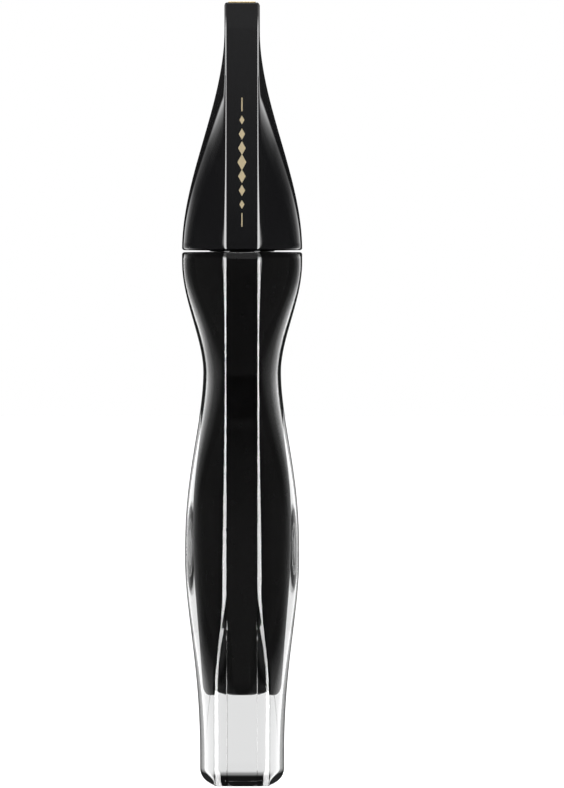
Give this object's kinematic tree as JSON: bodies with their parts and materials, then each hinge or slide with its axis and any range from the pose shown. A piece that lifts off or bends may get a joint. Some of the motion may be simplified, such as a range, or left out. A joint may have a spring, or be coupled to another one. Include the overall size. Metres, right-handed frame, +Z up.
{
  "type": "mascara tube",
  "caption": "Tall hourglass mascara tube with a clear jacket round a black vial, and a screw cap that tapers to a flat blade and carries the rod and brush",
  "frame": {"origin": "centre of the underside of the foot", "axes": "+Z is up, from the foot to the blade of the cap; the flat bands face -Y and +Y; the lobes are at -X and +X"},
  "size_m": [0.0222, 0.0244, 0.145],
  "materials": {
    "clear_shell": "thick clear plastic, polished",
    "vial": "black, glossy",
    "collar": "black, satin",
    "wiper": "soft natural plastic",
    "seal": "black rubber",
    "cap": "black, mirror polished",
    "insert": "black, satin",
    "plate": "pale gold, polished",
    "rod": "black, glossy",
    "wire": "twisted bare wire",
    "bristle": "black nylon fibres"
  },
  "bodies": {
    "tube": {"outer_shell": "clear_shell", "inner_vial": "vial", "neck_collar": "collar", "wiper": "wiper"},
    "seal": {"seal_ring": "seal"},
    "cap": {"cap_shell": "cap", "cap_insert": "insert", "end_plate": "plate", "wand_rod": "rod", "wire_core": "wire", "bristles": "bristle"}
  },
  "joints": [
    {"name": "cap_turn", "type": "hinge", "parent": "tube", "child": "seal", "pos_m": [0, 0, 0.0993], "axis": [0, 0, 1], "range_deg": [0, 450]},
    {"name": "cap_pull", "type": "slide", "parent": "seal", "child": "cap", "axis": [0, 0, 1], "range_m": [0, 0.095], "deforming": ["bristles"]}
  ]
}
